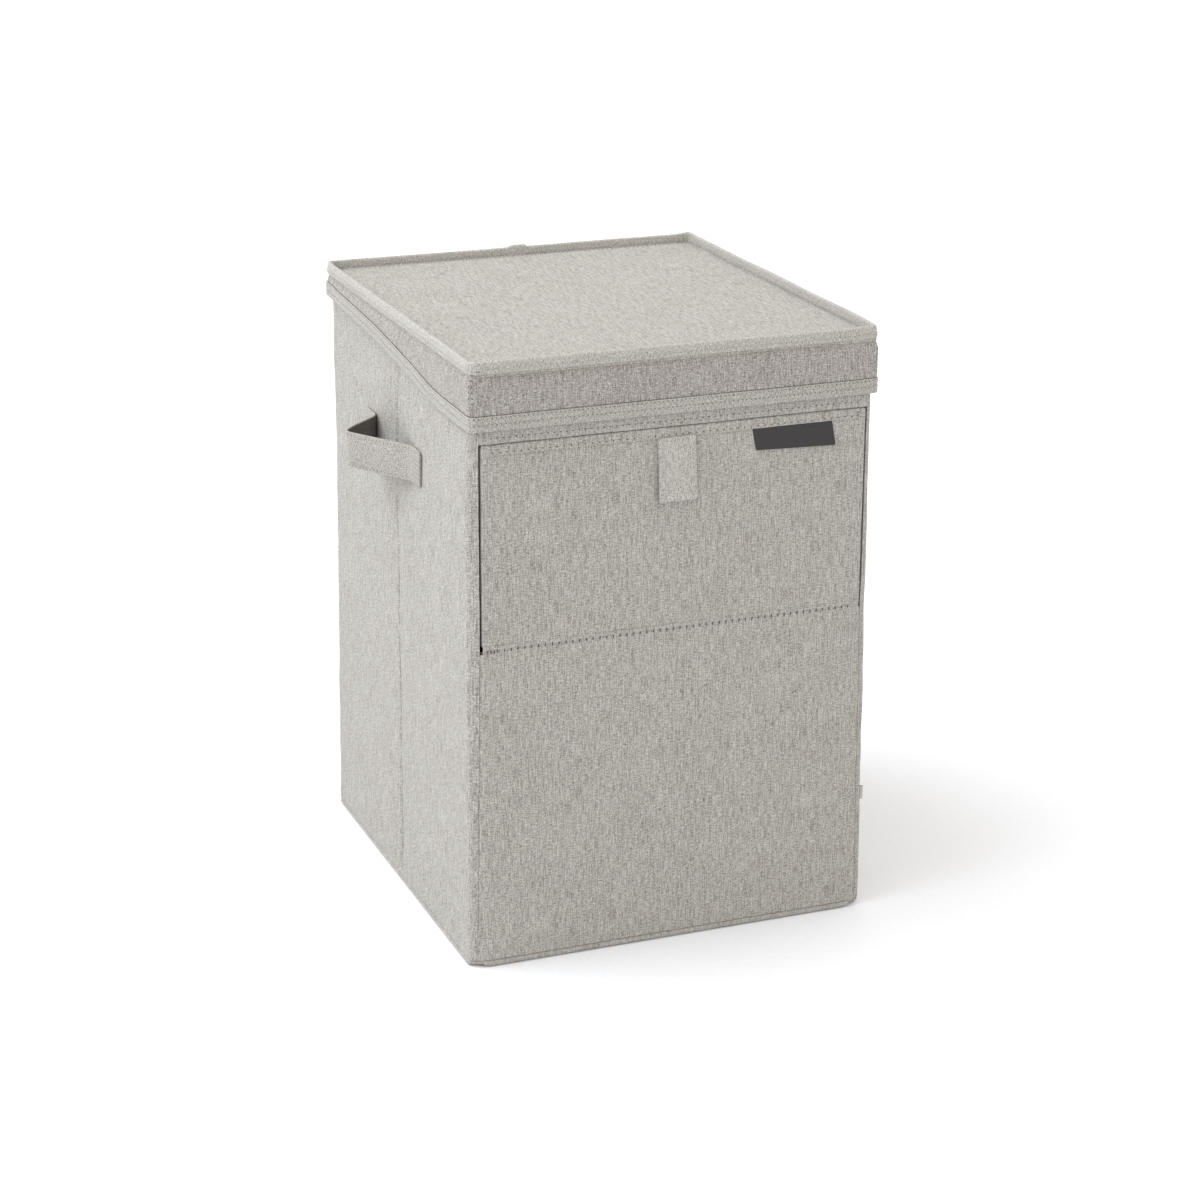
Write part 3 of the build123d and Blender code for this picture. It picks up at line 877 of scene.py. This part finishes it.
def pull_tab():
    """A folded strip of cloth hanging from the hem, slightly askew, with its edges turned in."""
    centre_x, half_p = -1.5 * MM, 14 * MM
    top = FLAP_MID_Z + HEM_Q + 1.0 * MM
    half_q, centre_z = (top - TAB_FOOT) / 2, (top + TAB_FOOT) / 2
    turned_p = half_p - 4.4 * MM

    def lift(p, q):
        away = np.abs(p) - turned_p
        turned = 0.28 * MM * smooth(away / (0.7 * MM)) - 0.30 * MM * bump(away, 0, 0.5 * MM)
        return turned + 0.12 * MM * ripple(p, q, 31, 0.03, 0.012)

    def place(p, q, w):
        down = np.clip((half_q - q) / (2 * half_q), 0, 1)
        curl = 1.9 * MM + 2.8 * MM * down ** 1.4 + 0.6 * MM * np.sin(down * math.pi)
        x = centre_x + p * (1 + 0.03 * down) + 1.0 * MM * down
        return np.stack([x, -END_Y - curl - w, centre_z + q + 0.02 * p], -1)

    panel = Panel(place, half_p, half_q, 1.2, 0.5, 2.2, lift)
    fine = [(turned_p, 1.2, 0.35), (-turned_p, 1.2, 0.35)]
    cloth = panel.mesh("pull_tab_cloth", 1.8, 0.7 * MM, "tab", fine)
    cloth_piece(cloth, on("flap"),
                ["pull_tab"])
    edge = half_p - 2.2 * MM
    rows = [(panel.surface, x, (3 * MM - half_q, half_q - 3 * MM), 1) for x in (-edge, edge)]
    rows.append((panel.surface, (-edge, edge), half_q - 2.4 * MM, 1))
    sew("pull_tab_seam", rows, on("flap"), 3.3, (1.9, 0.4, 0.3), (0.6, 0.4, 0.22))


def woven_label():
    """Blank charcoal label sewn under the hem along its top edge, a little crooked."""
    centre, size = (LABEL_LOW + LABEL_HIGH) / 2, LABEL_HIGH - LABEL_LOW
    half_p, half_q = size.x / 2 - 0.5 * MM, size.z / 2 - 0.6 * MM

    def place(p, q, w):
        down = np.clip((half_q - q) / (2 * half_q), 0, 1)
        z = centre.z + 0.4 * MM + q - 0.9 * MM * down * (p / half_p)
        out = 0.85 * MM + 0.8 * MM * down ** 1.5 + 0.25 * MM * np.sin(p / half_p * 2.2 + 0.6) * down
        return np.stack([centre.x + p + 3.0 * MM * down - 1.2 * MM, -END_Y - out - w, z], -1)

    panel = Panel(place, half_p, half_q, 0.8, 0.35, 0.5)
    label = panel.mesh("blank_label", 1.6, 0.35 * MM, "label")
    cloth_piece(label, on("flap"), ["woven_label"])
    rows = [(panel.surface, (2 * MM - half_p, half_p - 2 * MM), half_q - 1.3 * MM, 1)]
    sew("blank_label_seam", rows, on("flap"), 2.6, (1.5, 0.35, 0.3), (0.4, 0.4, 0.2), "dark_thread_and_shadow")


def closure():
    """Ledge behind the rail, and the hook and loop tapes that hold the flap shut."""
    middle, half = (LEDGE_HIGH + LEDGE_LOW) / 2, (LEDGE_HIGH - LEDGE_LOW) / 2

    def place(p, q, w):
        y = -INNER_Y + 1.8 * MM * smooth((RAIL_FOOT + 2 * MM - middle.z - q) / (5 * MM))
        return np.stack([p, y + 0.5 * MM - w, q + middle.z], -1)

    panel = Panel(place, half.x, half.z, 3, 0.4, 1.2, lambda p, q: 0.15 * MM * ripple(p, q, 41, 0.08, 0.03))
    ledge = panel.mesh("closure_ledge_cloth", 4, 0.7 * MM, "lining")
    cloth_piece(ledge, on("front_wall"),
                ["closure_ledge"])
    half_p = 30 * MM
    for kind, body, turn in (("loop", "front_wall", 1), ("hook", "flap", -1)):
        node = f"closure_{kind}_tapes"
        low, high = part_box(node)
        half_q = (high.z - low.z) / 2
        face_y = low.y + 0.1 * MM if turn > 0 else high.y - 0.1 * MM
        for name, side in (("left", -1), ("right", 1)):
            spot = lambda p, q, w: np.stack([side * (high.x - half_p) + p * turn, face_y - w * turn,
                                             low.z + half_q + q], -1)
            fuzz = lambda p, q: 0.08 * MM * ripple(p, q, 43, 0.004, 0.002)
            tape = Panel(spot, half_p, half_q, 1.2, 0.25, 0.4, fuzz)
            piece = tape.mesh(f"closure_{kind}_tape_{name}", 1.4, 0.3 * MM, "tape")
            cloth_piece(piece, on(body), [node])


# ---- linings

def lining(name, place, half_p, half_q, carry, stands_for=(), step=8, corner=2, depth=0.4,
           seed=51, wave=0.3, fine_p=()):
    """Inner cloth: a thin panel, a little uneven. Sizes after its halves are in mm."""
    panel = Panel(place, half_p, half_q, corner, 0.4, depth, lambda p, q: wave * MM * ripple(p, q, seed))
    cloth = panel.mesh(name, step, THIN, "lining", fine_p)
    cloth_piece(cloth, carry, stands_for)


def linings():
    """Inner cloth of the walls, across both creases, and the base's lining."""
    low_z, high_z = BASE_TOP + 0.3 * MM, WALL_TOP - 2.0 * MM
    mid_z, half_z = (low_z + high_z) / 2, (high_z - low_z) / 2
    for name, side, carry in (("left", -1, LEFT_CREASE), ("right", 1, RIGHT_CREASE)):
        def place(p, q, w):
            fold = 0.5 * MM * bump(p, 0, 3 * MM)
            return np.stack([side * (INNER_X + LINING - 0.5 * MM - w + fold), p * side, q + mid_z], -1)

        lining(f"{name}_side_lining_cloth", place, INNER_Y + 0.1 * MM, half_z, carry,
               (f"{name}_rear_lining", f"{name}_front_lining"),
               step=7, fine_p=[(0, 8, 1.5)])
    inside_y = INNER_Y + LINING - 0.5 * MM
    half_x = SIDE_X - 4 * MM
    lining("back_lining_cloth", lambda p, q, w: np.stack([-p, inside_y - w, q + mid_z], -1), half_x, half_z,
           on("shell_back"), ["back_lining"])
    openings = {
        "front_lower_lining_cloth": (low_z, FOLD_Z - 1.0 * MM, ["front_lining"]),
        "front_rail_lining_cloth": (RAIL_FOOT + 0.5 * MM, high_z, []),
    }
    for name, (foot_z, head_z, nodes) in openings.items():
        place = lambda p, q, w: np.stack([-p, w - inside_y, q + (foot_z + head_z) / 2], -1)
        lining(name, place, half_x, (head_z - foot_z) / 2, on("front_wall"), nodes)
    for name, side in (("left", -1), ("right", 1)):
        post_x = (FLAP_HIGH.x + INNER_X + 4.7 * MM) / 2 * side
        place = lambda p, q, w: np.stack([post_x - p, w - inside_y, q + (FOLD_Z + RAIL_FOOT) / 2], -1)
        panel = Panel(place, 1.6 * MM, (RAIL_FOOT - FOLD_Z) / 2 + 1 * MM, 0.6, 0.3, 0.4)
        cloth = panel.mesh(f"front_post_lining_{name}", 6, THIN, "lining")
        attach(cloth, "front_wall")
    lining("base_lining_cloth", lambda p, q, w: np.stack([p, q, BASE_TOP - THIN + w], -1), INNER_X + 2 * MM,
           INNER_Y + 2 * MM, on("shell_back"), ["base_lining"], step=9, corner=8, depth=0.5,
           seed=57)


# ---- the lid

def lid_top():
    """Top cloth of the lid, nearly flat, with a row of stitches at the foot of the rim, and its lining."""
    half_x, half_y = LID_HIGH.x - 1.2 * MM, LID_HIGH.y - 1.2 * MM

    def lift(p, q):
        sag = -0.5 * MM * (1 - (p / half_x) ** 2) * (1 - (q / half_y) ** 2)
        return sag + 0.30 * MM * ripple(p, q, 61) + 0.08 * MM * ripple(p, q, 62, 0.05, 0.02)

    panel = Panel(lambda p, q, w: np.stack([p, q, LID_HIGH.z + w], -1), half_x, half_y, 6, 0.8, 3.6, lift)
    cloth = panel.mesh("lid_top_cloth", 6)
    cloth_piece(cloth, on("lid"),
                ["lid_cover"])
    x, y = LID_HIGH.x - 5.2 * MM, LID_HIGH.y - 5.2 * MM
    sides = (((-x, x), y), (x, (y, -y)), ((x, -x), -y), (-x, (-y, y)))
    rows = [(panel.surface, a, b, 1) for a, b in sides]
    sew("lid_top_seam", rows, on("lid"), 3.8, (2.2, 0.5, 0.4), (1.1, 0.7, 0.3))
    lining("lid_lining_cloth", lambda p, q, w: np.stack([p, -q, LID_UNDER + THIN - w], -1),
           LID_HIGH.x - 1.6 * MM, LID_HIGH.y - 1.6 * MM, on("lid"), ["lid_lining"], step=9,
           corner=5, depth=0.5, seed=65, wave=0.25)


RIM_T = 3.4 * MM
LAP_X = 11 * MM                      # the rim tape's two ends overlap here, on the back rim


def rim_shape(s):
    """Outward lean, extra height and extra thickness of the bound rim at a distance round the lid."""
    lean = 0.35 * MM * ripple(s, 0 * s, 71, 0.25, 0.09) + 0.15 * MM * ripple(s, 0 * s, 72, 0.06, 0.025)
    lap = LID.back(LAP_X)
    over = smooth((s - lap + 2 * MM) / (2.5 * MM)) * smooth((lap + 17 * MM - s) / (8 * MM))
    back_end = LID.back(-LID_HIGH.x)
    at_back = smooth((s - LID.back_start) / (12 * MM)) * smooth((back_end - s) / (12 * MM))
    lean = lean + 2.2 * MM * at_back
    lean = lean - 2.2 * MM * bump(s, LID.right(-LID_HIGH.y) + 2 * MM, 20 * MM)
    lean = lean - 1.6 * MM * bump(s, back_end - 2 * MM, 14 * MM)
    peak = bump(s, LID.back_start - 5 * MM, 5 * MM)
    rise = 0.22 * MM * ripple(s, 0 * s, 73, 0.2, 0.05) - 0.9 * MM * at_back + 0.9 * MM * peak
    return lean, rise + 1.6 * MM * over, 0.9 * MM * over


def lid_rim():
    """The seam round the lid, bound with tape, standing up as a soft rim."""
    corners = (LID.left(-LID_HIGH.y) - 3 * MM, LID.front_start + 2 * LID_HIGH.x - 10 * MM,
               LID.back_start - 5 * MM, LID.back(-LID_HIGH.x) - 2 * MM, LID.back(LAP_X))
    s = stations(0, LID.total, 3.5, *[(corner, 14, 0.9) for corner in corners])[:-1]
    lean, rise, swell = rim_shape(s)
    height = RIM_TOP - LID_HIGH.z + 1.6 * MM
    section = rounded_section(RIM_T, height, 1.55 * MM, 5)
    mid_z = RIM_TOP - 0.2 * MM - height / 2
    rings = []
    for out, up in section:
        share = up / height + 0.5
        belly = 0.25 * MM * math.sin(share * math.pi) * (1 if out > 0 else 0.3)
        reach = out * (1 + swell / RIM_T) - RIM_T / 2 + 0.35 * MM + lean * (0.4 + 0.6 * share) + belly
        rings.append(LID.out(s, reach, mid_z + up + rise * share))
    # the rim's cloth is made lighter as painted light
    rim = tube_mesh("lid_rim_cloth", np.stack(rings, 1), s, section, "rim", closed=True)
    cloth_piece(rim, on("lid"), ["lid_rim_binding"])

    def rim_face(reach):
        def surface(a, b):
            share = np.clip((b - LID_HIGH.z) / height, 0, 1)
            return LID.out(a, reach + rim_shape(a)[0] * (0.4 + 0.6 * share), b)
        return surface

    outer_face, inner_face = rim_face(0.55 * MM), rim_face(0.35 * MM - RIM_T)
    run = np.linspace(0, LID.total - 2 * MM, 900)
    line = LID_HIGH.z + 1.6 * MM
    rows = [(outer_face, run, line, 1), (inner_face, run, line, -1)]
    sew("lid_rim_seam", rows, on("lid"), 3.8, (2.1, 0.42, 0.34), (0.6, 0.4, 0.2))
    tack_s, tack_z = LID.front(5.0 * MM - LID_HIGH.x), (LID_HIGH.z - 0.4 * MM, RIM_TOP - 4.8 * MM)
    tack = [(outer_face, tack_s + k * 1.1 * MM, tack_z, 1) for k in range(3)]
    sew("lid_corner_tack", tack, on("lid"), 1.3, (1.3, 0.5, 0.4))


LEFT_SEAM = SKIRT.left(SKIRT_R - LID_HIGH.y) + SKIRT_R * math.pi / 4
RIGHT_SEAM = SKIRT.right(SKIRT_R - LID_HIGH.y) - SKIRT_R * math.pi / 4
SKIRT_CORNERS = [(LEFT_SEAM, 8, 0.7), (RIGHT_SEAM, 8, 0.7)]
HEM_LINE_Y = np.array([-0.180, -0.116, -0.081, -0.025, 0.034, 0.132, 0.1725])
HEM_LINE_Z = np.array([0.4120, 0.4120, 0.4146, 0.4218, 0.4278, 0.4330, 0.4346])


def hem_line(y):
    """Height of the skirt's binding at its upper edge: level in front, rising to the back."""
    fine = np.linspace(HEM_LINE_Y[0], HEM_LINE_Y[-1], 240)
    level = np.interp(fine, HEM_LINE_Y, HEM_LINE_Z)
    kernel = bump(np.arange(-24, 25), 0, 10)
    rounded = np.convolve(np.pad(level, 24, mode="edge"), kernel / kernel.sum(), "valid")
    tail = level[-1] - rounded[-1]
    return np.interp(y, fine, rounded + tail * smooth((fine - 0.12) / 0.05))


def skirt_out(s, z):
    """How far the skirt stands out: it hangs a little loose and pulls in under the rim."""
    tuck = -2.4 * MM * smooth((z - 433 * MM) / (8 * MM))
    wave = 0.35 * MM * ripple(s, z, 81, 0.14, 0.05) * smooth((444 * MM - z) / (12 * MM))
    return tuck + wave - 1.5 * MM * bump(s, RIGHT_SEAM, 17 * MM)


def skirt_face(s, z):
    return SKIRT.out(s, skirt_out(s, z), z)


def skirt_surface(s, t):
    """The skirt with t = 0 just under the top of the binding and t = 1 at the seam under the rim."""
    low = hem_line(SKIRT.at(s)[1]) - 3 * MM
    return skirt_face(s, low + (SKIRT_SEAM_Z - low) * t)


def band_point(s, out, up):
    """A point of the hem binding: up is the distance above its lower edge."""
    z = hem_line(SKIRT.at(s)[1]) - BAND_H + up
    return SKIRT.out(s, skirt_out(s, z) + out + 0.10 * MM * ripple(s, up, 85, 0.05, 0.02), z)


def lid_skirt():
    """Skirt hanging from the lid: two side wings and a front, sewn at the front corners."""
    rear_y, gap = LID_HIGH.y - 4.0 * MM, 0.1 * MM
    runs = {
        "left": (SKIRT.left(rear_y), LEFT_SEAM - gap),
        "front": (LEFT_SEAM + gap, RIGHT_SEAM - gap),
        "right": (RIGHT_SEAM + gap, SKIRT.right(rear_y)),
    }
    for name, (start, end) in runs.items():
        a, t = np.meshgrid(stations(start, end, 4.5, *SKIRT_CORNERS), np.linspace(0, 1, 12))
        outer = skirt_surface(a, t)
        _, _, nx, ny = SKIRT.at(a)
        inner = outer - np.stack([nx, ny, 0 * nx], -1) * MM
        # the skirt's cloth is darkened as painted shade
        cloth = shell(f"skirt_{name}_cloth", outer, inner, np.stack([a, outer[..., 2]], -1), MM, "skirt")
        cloth_piece(cloth, on("lid"),
                    [f"lid_skirt_{name}"])
    places = (LEFT_SEAM - 1.2 * MM, LEFT_SEAM + 1.0 * MM, RIGHT_SEAM - 1.0 * MM, RIGHT_SEAM + 1.2 * MM)
    rows = [(skirt_surface, place, (0.12, 0.93), 1) for place in places]
    sew("skirt_corner_seam", rows, on("lid"), 4.0, (1.6, 0.4, 0.3), (1.1, 0.8, 0.3))


def skirt_hem():
    """One tape folded over the skirt's lower edge, from one rear end to the other, and its threads; the dark
    lines along its top and under the lid's rim are partly dark thread and partly painted shadow.
    """
    start, end = SKIRT.left(BAND_END_Y - 4.4 * MM), SKIRT.right(BAND_END_Y - 4.4 * MM)
    s = stations(start, end, 3.2, *SKIRT_CORNERS)
    thick = 1.0 * MM + 2 * BAND_T
    section = rounded_section(thick, BAND_H, 0.55 * MM, 3)
    section[section[:, 1] < 0, 0] *= 0.94
    rings = np.stack([band_point(s, out - thick / 2 + BAND_T, up + BAND_H / 2) for out, up in section], 1)
    band = tube_mesh("skirt_hem_cloth", rings, s, section, "binding")
    cloth_piece(band, on("lid"),
                ["skirt_hem_binding"])
    run = np.linspace(start + 3 * MM, end - 3 * MM, 900)
    outside = lambda a, b: band_point(a, BAND_T + 0.02 * MM, b)
    rows = [(outside, run, BAND_H - down * MM, 1) for down in (1.5, 6.0)]
    sew("skirt_hem_seam", rows, on("lid"), 3.3, (2.2, 0.5, 0.42), (1.0, 0.6, 0.26))
    # dark line along the binding's upper edge: partly a dark stitch, partly painted shadow
    edge = lambda a, b: band_point(a, BAND_T * 0.35, b)
    dots = seam_row(edge, run, BAND_H + 0.05 * MM, 1.9, 0.0)
    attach(spindles("skirt_hem_edge_thread_and_shadow", [dots], (1.6, 0.75, 0.5), "dark_thread_and_shadow"), "lid")
    # dark line under the lid's rim: partly dark stitching, partly painted shadow between rim and skirt
    dots = seam_row(skirt_face, run, 440.6 * MM, 1.7, 0.15)
    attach(spindles("lid_rim_edge_thread_and_shadow", [dots], (1.8, 0.6, 0.5), "dark_thread_and_shadow"), "lid")


# Section of the hinge tape: distance behind the back wall in mm, and height.
HINGE_ROUTE = [(0.9, HINGE_LOW.z), (0.9, 0.420), (1.1, 0.430), (2.0, 0.4345), (3.9, 0.4372), (3.6, 0.4400),
               (3.5, 0.4425)]


def hinge_tape():
    """Cloth hinge: sewn low on the back wall and high on the lid's back edge."""
    half = HINGE_HIGH.x
    line = smooth_path([(END_Y + behind * MM, z) for behind, z in HINGE_ROUTE], 90)
    length = distances(line)
    total = float(length[-1])

    def surface(a, b):
        y = np.interp(b, length, line[:, 0]) + 0.12 * MM * ripple(a, b, 91, 0.12, 0.04)
        return np.stack([-a, y, np.interp(b, length, line[:, 1])], -1)

    up = stations(0, total, 3, (total - 6 * MM, 7, 0.6))
    cloth = sheet_mesh("lid_hinge_cloth", surface, stations(-half, half, 8), up, 0.6 * MM, "binding")
    carry = between()
    cloth_piece(cloth, carry, ["lid_hinge_tape"])
    rows = [(surface, (4 * MM - half, half - 4 * MM), b * MM, 1) for b in (2.5, 6.5)]
    sew("lid_hinge_seam", rows, on("shell_back"), 3.8)


# ---- handles and care label

STRAP_T = 1.7 * MM
# Route of a strap seen from above, in mm: place along the wall and distance from it.
STRAP_ROUTE = [(-64, 1.3), (-56, 1.3), (-47, 1.3), (-41, 2.6), (-26, 11.5), (-6, 22.5), (8, 31.0), (15, 33.4),
               (22, 28.5), (33, 15.5), (42, 4.0), (47, 1.3), (55, 1.3), (63, 1.3), (70, 1.3)]


def handle(name, side):
    """Strap sewn flat on both halves of a side wall and bowed out between them."""
    path = smooth_path(np.array(STRAP_ROUTE) * MM, 150)
    length = distances(path)
    total = float(length[-1])
    slope = np.gradient(path, axis=0)
    slope /= np.linalg.norm(slope, axis=1, keepdims=True)
    mid_z, half_h = (STRAP_LOW.z + STRAP_HIGH.z) / 2, (STRAP_HIGH.z - STRAP_LOW.z) / 2

    def strap_point(a, out, up):
        y, away = np.interp(a, length, path[:, 0]), np.interp(a, length, path[:, 1])
        ny, nout = -np.interp(a, length, slope[:, 1]), np.interp(a, length, slope[:, 0])
        bow = np.clip((away - 1.3 * MM) / (32 * MM), 0, 1)
        x = SIDE_X + away + nout * out + 0.05 * bow * up - 0.3 * MM
        y = y + ny * out
        z = mid_z + up - 1.2 * MM * bow
        return np.stack([side * x + flare(side * SIDE_X, y, z), y, z], -1)

    s = stations(0, total, 1.5)
    taper = 0.80 + 0.20 * np.sqrt(np.clip(np.minimum(s, total - s) / (5 * MM), 0, 1))
    section = rounded_section(STRAP_T, 2 * half_h, 0.7 * MM, 3)
    rings = np.stack([strap_point(s, out, up * taper) for out, up in section], 1)
    # the strap's inner faces get the dark backing cloth: partly its own colour, partly painted shade
    strap = tube_mesh(f"{name}_handle_cloth", rings, s, section, "strap", second="strap_back_and_shade", inner_column=7)
    if side < 0:
        carry = between()
    else:
        carry = between()
    cloth_piece(strap, carry, [f"{name}_handle_strap"])
    face = lambda a, b: strap_point(a, STRAP_T / 2, b)
    edge = half_h - 2.2 * MM
    rows = [(face, (3 * MM, total - 3 * MM), b, side) for b in (-edge, edge)]
    sew(f"{name}_handle_seam", rows, carry, 3.6, (2.2, 0.5, 0.42), (0.8, 0.6, 0.26))
    box = [(face, first + k * 3.4 * MM, (1 * MM - edge, edge - 1 * MM), side)
           for first in (2.2 * MM, total - 17 * MM) for k in range(5)]
    sew(f"{name}_handle_box_seam", box, carry, 3.2, (1.8, 0.45, 0.36), (0.7, 0.5, 0.22))


def care_label():
    """Small blank label, folded over and caught in the seam of the right side."""
    loop = smooth_path([(0, -1), (1, -1.0), (2.2, -1.1), (2.6, -0.2), (2.2, 0.6), (1, 0.5), (0, 0.4)], 40) * MM
    length = distances(loop)
    total = float(length[-1])
    middle, half = (CARE_LOW + CARE_HIGH) / 2, (CARE_HIGH.z - CARE_LOW.z) / 2
    wall_x = SIDE_X + float(flare(SIDE_X, middle.y, middle.z)) - 0.4 * MM

    def surface(a, b):
        x, y = np.interp(b, length, loop[:, 0]) + wall_x, np.interp(b, length, loop[:, 1]) + middle.y
        return np.stack([x, y, middle.z + a], -1)

    across, up = stations(-half, half, 1.5), stations(0, total, 0.5)
    label = sheet_mesh("blank_care_label", surface, across, up, 0.25 * MM, "care")
    cloth_piece(label, on("right_front"), ["care_label"])


# ---- everything together

for board_name, board in frame["nodes"].items():
    if board_name.endswith("_board"):
        board.data.materials.clear()
        board.data.materials.append(MATERIAL["board"])

for make in (side_walls, front_corners, front_lower, fold_strip, front_rail, back_wall, foot, flap, pull_tab,
             woven_label, closure, linings, lid_top, lid_rim, lid_skirt, skirt_hem, hinge_tape):
    make()
handle("left", -1)
handle("right", 1)
care_label()


# ---- studio

def floor():
    mesh = bpy.data.meshes.new("studio_floor")
    corners = [(-40, -40, 0), (40, -40, 0), (40, 40, 0), (-40, 40, 0)]
    mesh.from_pydata(corners, [], [(0, 1, 2, 3)])
    n = Nodes("studio_floor")
    grain = n.noise(n.place(), 4, 4, 2.0)
    colour = n.mix(n.ramp(grain, 0.3, 0.7), (0.855, 0.86, 0.875), (0.875, 0.88, 0.895))
    mesh.materials.append(n.finish(colour, 1.0, specular=0.0))
    obj = add_object("studio_floor", mesh)
    obj.location.z = -0.1 * MM


def world(strength):
    """Even light from all round, with a white backdrop where nothing else is in view."""
    made = bpy.data.worlds.new("studio")
    bpy.context.scene.world = made
    made.use_nodes = True
    nodes, links = made.node_tree.nodes, made.node_tree.links
    nodes.clear()
    mixed = nodes.new("ShaderNodeMixShader")
    links.new(nodes.new("ShaderNodeLightPath").outputs["Is Camera Ray"], mixed.inputs[0])
    for socket, colour, power in ((1, (1.0, 0.985, 0.965, 1), strength), (2, (1, 1, 1, 1), 1.0)):
        light = nodes.new("ShaderNodeBackground")
        light.inputs["Color"].default_value = colour
        light.inputs["Strength"].default_value = power
        links.new(light.outputs[0], mixed.inputs[socket])
    links.new(mixed.outputs[0], nodes.new("ShaderNodeOutputWorld").inputs[0])


def area_light(name, place, target, size, power, colour):
    lamp = bpy.data.lights.new(name, "AREA")
    lamp.shape = "DISK"
    lamp.size = size
    lamp.energy = power
    lamp.color = colour
    obj = add_object(name, lamp)
    obj.location = place
    obj.rotation_euler = (Vector(target) - Vector(place)).to_track_quat("-Z", "Y").to_euler()


def camera():
    """Camera at the front left, above, looking down, with a slight roll."""
    azimuth, elevation, roll = (math.radians(angle) for angle in (21.58, 19.006, 0.302))
    turn = (Matrix.Rotation(-azimuth, 4, "Z") @ Matrix.Rotation(math.pi / 2 - elevation, 4, "X")
            @ Matrix.Rotation(roll, 4, "Z"))
    lens = bpy.data.cameras.new("camera")
    lens.lens = 86.4
    lens.sensor_width = 36.0
    lens.clip_start, lens.clip_end = 0.05, 30
    obj = add_object("camera", lens)
    obj.matrix_world = Matrix.Translation((-0.75987, -1.94337, 0.92745)) @ turn
    bpy.context.scene.camera = obj


floor()
world(1.15)
area_light("key_light", (-2.0, 0.5, 2.7), (0, 0, 0.25), 3.6, 80, (0.94, 1.0, 1.07))
camera()
bpy.context.scene.view_settings.view_transform = "Standard"
